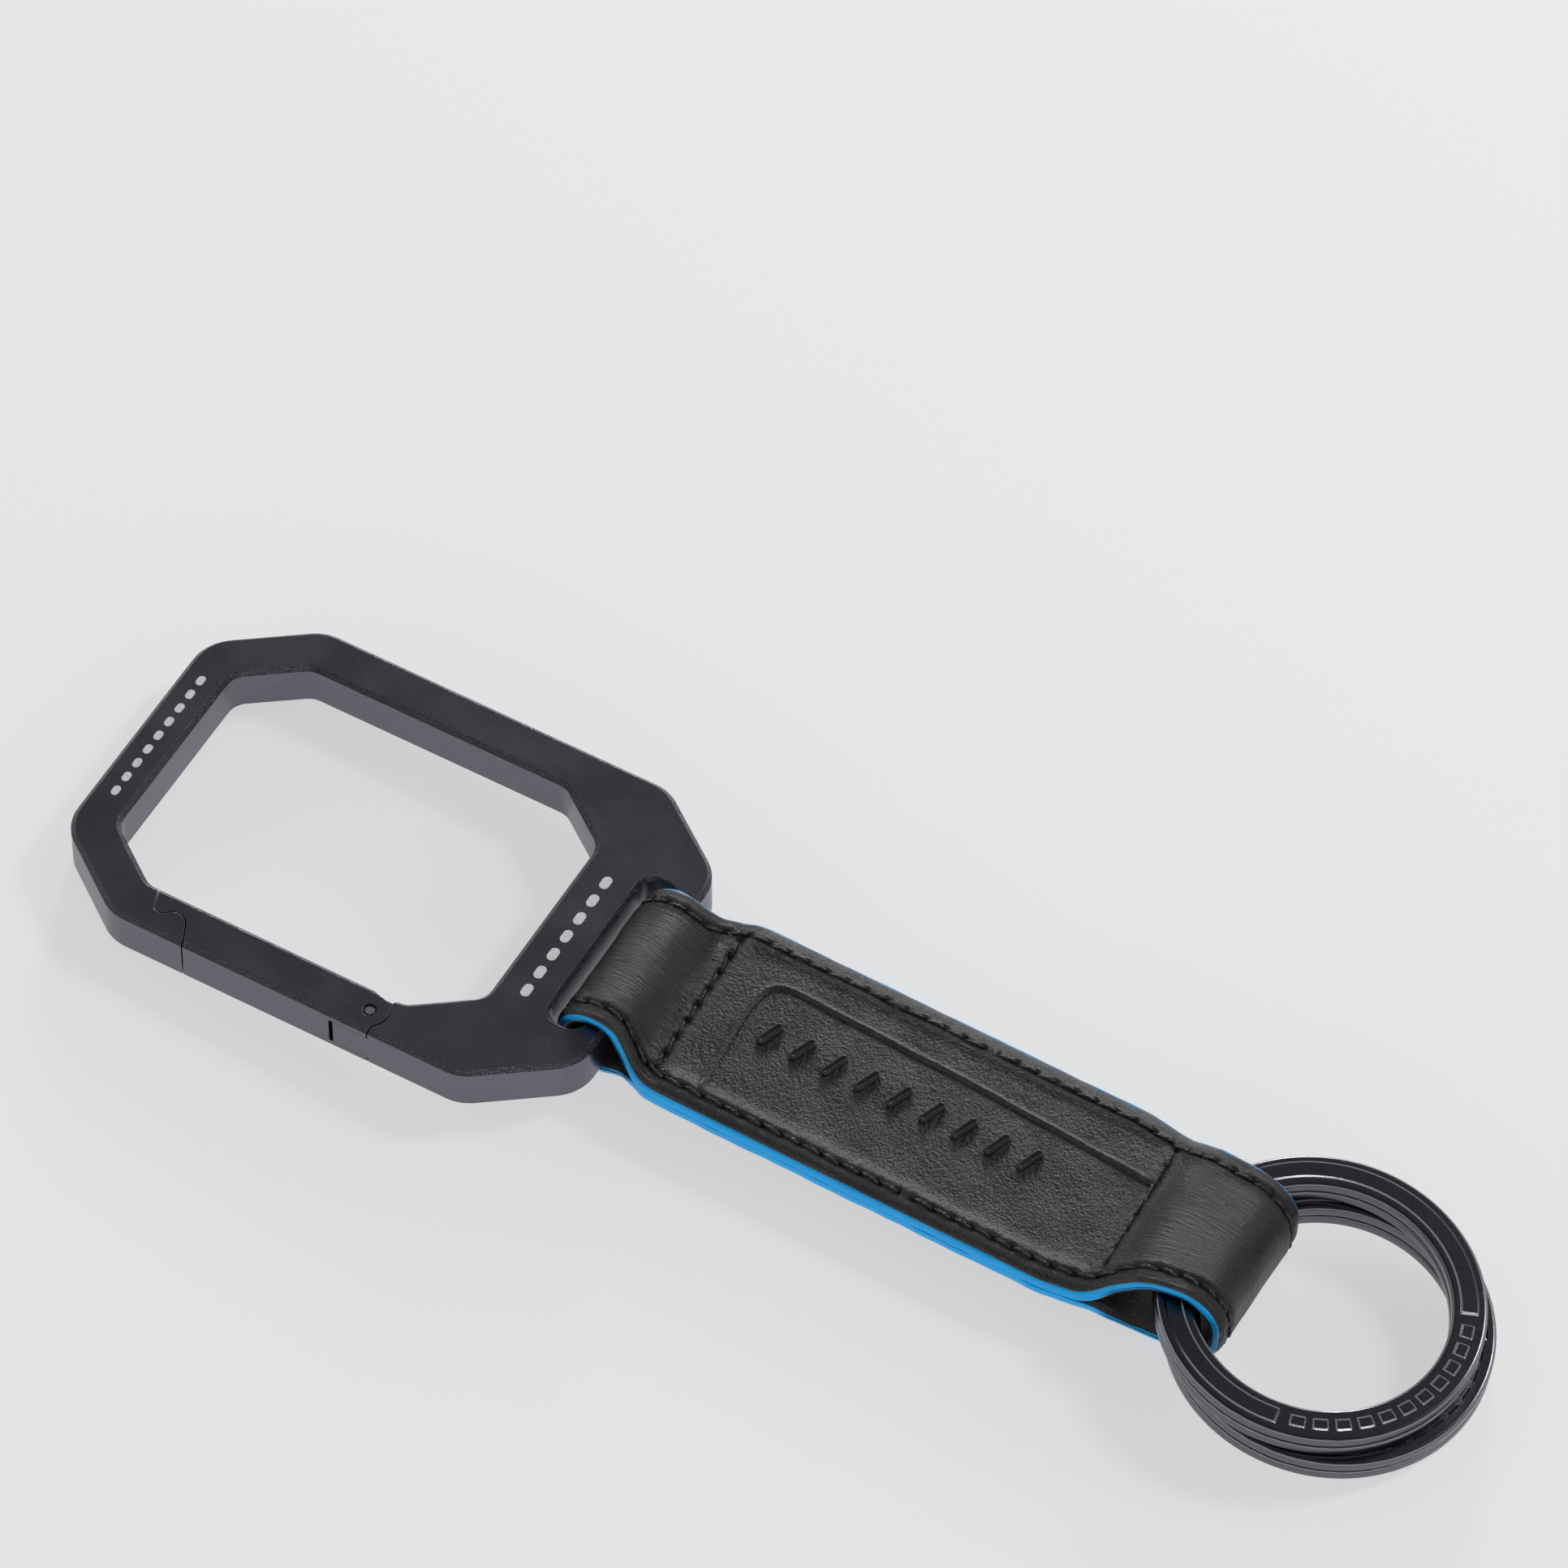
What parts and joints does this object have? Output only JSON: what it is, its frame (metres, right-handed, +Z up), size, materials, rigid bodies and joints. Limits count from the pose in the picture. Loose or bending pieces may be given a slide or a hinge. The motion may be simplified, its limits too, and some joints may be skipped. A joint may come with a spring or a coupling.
{
  "type": "key organiser",
  "caption": "Key organiser: octagonal carabiner with a sprung gate, folded leather strap with painted edges and stitching, and flat-wire split rings",
  "frame": {"origin": "middle of the base of the whole object, on the table", "axes": "+X from the carabiner to the split rings, -Y to the gate's side, +Z up"},
  "size_m": [0.1409, 0.0378, 0.0097],
  "materials": {
    "black_anodised": "matt black anodised, fine blasted grain",
    "pin_steel": "bright turned steel",
    "spring_steel": "drawn spring wire",
    "black_leather": "fine-grained, semi-matt",
    "stiffener_board": "dull fibre board",
    "blue_edge_paint": "glossy rounded edge paint",
    "black_thread": "waxed twisted thread",
    "raised_vinyl": "satin, slightly soft",
    "black_ring_metal": "semi-gloss black coating"
  },
  "bodies": {
    "carabiner": {"carabiner_frame": "black_anodised", "gate_pin": "pin_steel"},
    "gate": {"gate": "black_anodised", "gate_spring": "spring_steel"},
    "plunger": {"gate_plunger": "pin_steel"},
    "strap": {"front_leather": "black_leather", "back_leather": "black_leather", "stiffener": "stiffener_board", "bar_loop_leather": "black_leather", "edge_paint_near": "blue_edge_paint", "edge_paint_far": "blue_edge_paint", "bar_loop_paint": "blue_edge_paint", "stitching_near": "black_thread", "stitching_far": "black_thread", "stitching_bar_row": "black_thread", "stitching_ring_row": "black_thread", "bar_loop_stitching": "black_thread", "raised_bars": "raised_vinyl"},
    "ring_loop": {"ring_loop_leather": "black_leather", "ring_loop_paint": "blue_edge_paint", "ring_loop_stitching": "black_thread"},
    "upper_ring": {"upper_split_ring": "black_ring_metal"},
    "lower_ring": {"lower_split_ring": "black_ring_metal"}
  },
  "joints": [
    {"name": "gate_hinge", "type": "hinge", "parent": "carabiner", "child": "gate", "pos_m": [-0.03488, -0.01663, 0.00353], "axis": [0.0296, 0, -0.9996], "range_deg": [0, 45], "stiffness_Nm_per_rad": 0.02, "springref_deg": -28.65},
    {"name": "plunger_slide", "type": "slide", "parent": "gate", "child": "plunger", "axis": [-0.9996, 0, -0.0296], "range_m": [0, 0.0005], "deforming": ["gate_spring"]},
    {"name": "strap_hinge", "type": "hinge", "parent": "carabiner", "child": "strap", "pos_m": [-0.01629, 0, 0.00408], "axis": [0, -1, 0], "range_deg": [-110, 110]},
    {"name": "ring_loop_bend", "type": "hinge", "parent": "strap", "child": "ring_loop", "pos_m": [0.03657, 0, 0.00408], "axis": [0, -1, 0], "range_deg": [-50, 50]},
    {"name": "upper_ring_turn", "type": "hinge", "parent": "ring_loop", "child": "upper_ring", "pos_m": [0.05426, 0, 0.00537], "axis": [0.0839, 0, 0.9965], "continuous": true},
    {"name": "lower_ring_turn", "type": "hinge", "parent": "ring_loop", "child": "lower_ring", "pos_m": [0.05543, -0.0001, 0.00254], "axis": [0.0839, 0, 0.9965], "continuous": true}
  ],
  "couplings": [
    {"joint": "plunger_slide", "follows": "gate_hinge", "m_per_rad": 0.0005}
  ]
}
